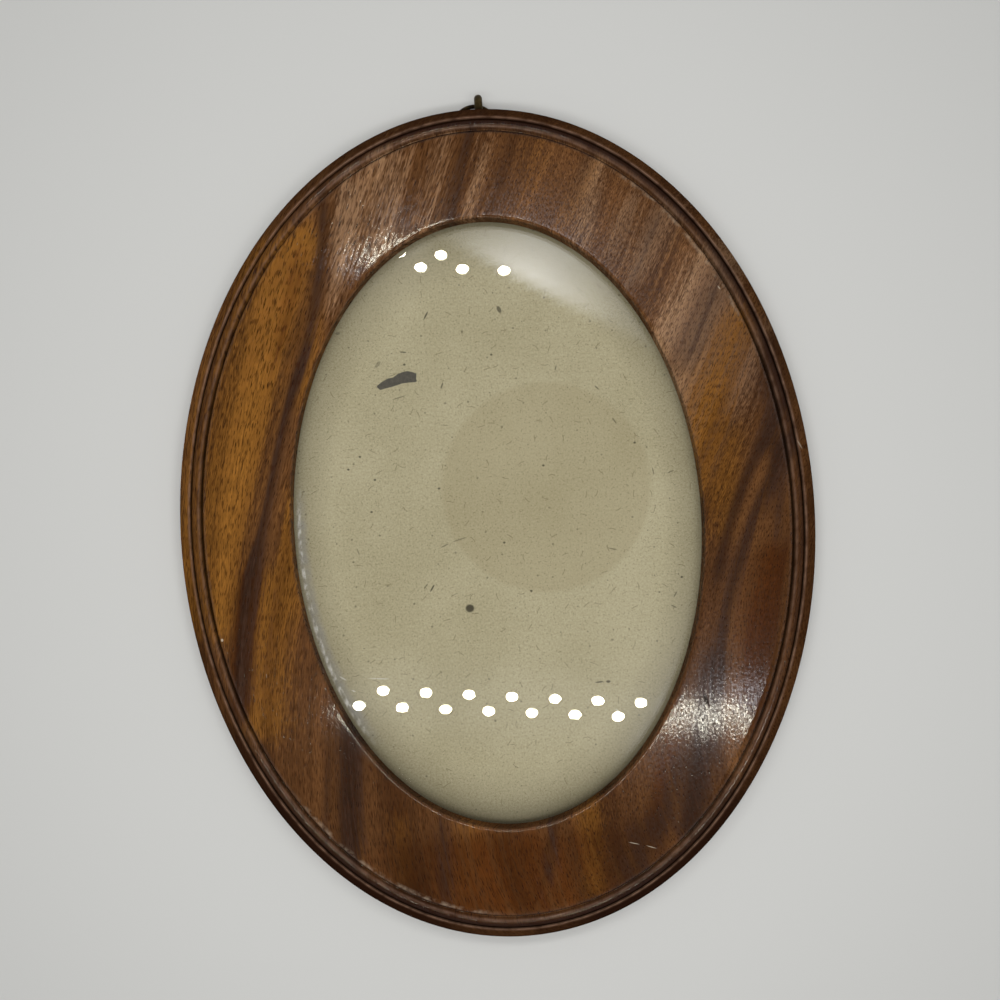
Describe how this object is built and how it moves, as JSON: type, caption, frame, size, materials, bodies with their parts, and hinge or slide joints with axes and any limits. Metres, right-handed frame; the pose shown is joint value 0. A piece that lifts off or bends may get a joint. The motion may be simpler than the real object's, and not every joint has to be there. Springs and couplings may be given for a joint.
{
  "type": "oval picture frame",
  "caption": "Oval turned wooden picture frame with flat glass, card insert, panel held by brads, and a wire hanging ring in a screw eye at the top.",
  "frame": {"origin": "centre of the oval, in the plane of the back", "axes": "+Z out of the face, +Y towards the hanger, +X to the right seen from the front"},
  "size_m": [0.1544, 0.2064, 0.013],
  "materials": {
    "walnut": "polished walnut, brown with darker streaks",
    "pane_glass": "clear flat window glass",
    "fleck_card": "greyish beige fleck card",
    "panel_wood": "thin plain sawn wood, unfinished",
    "brad_steel": "dull drawn steel",
    "eye_brass": "oxidised brass wire",
    "ring_brass": "oxidised brass wire"
  },
  "bodies": {
    "frame": {"turned_frame": "walnut", "glass_pane": "pane_glass", "insert_board": "fleck_card", "back_panel": "panel_wood", "glazing_brad_1": "brad_steel", "glazing_brad_2": "brad_steel", "glazing_brad_3": "brad_steel", "glazing_brad_4": "brad_steel", "glazing_brad_5": "brad_steel", "glazing_brad_6": "brad_steel", "glazing_brad_7": "brad_steel", "glazing_brad_8": "brad_steel", "screw_eye": "eye_brass"},
    "ring": {"hanging_ring": "ring_brass"}
  },
  "joints": [
    {"name": "ring_swing", "type": "hinge", "parent": "frame", "child": "ring", "pos_m": [0.0019, 0.1028, 0.0039], "axis": [1, 0, 0], "range_deg": [-3.5, 271]}
  ]
}
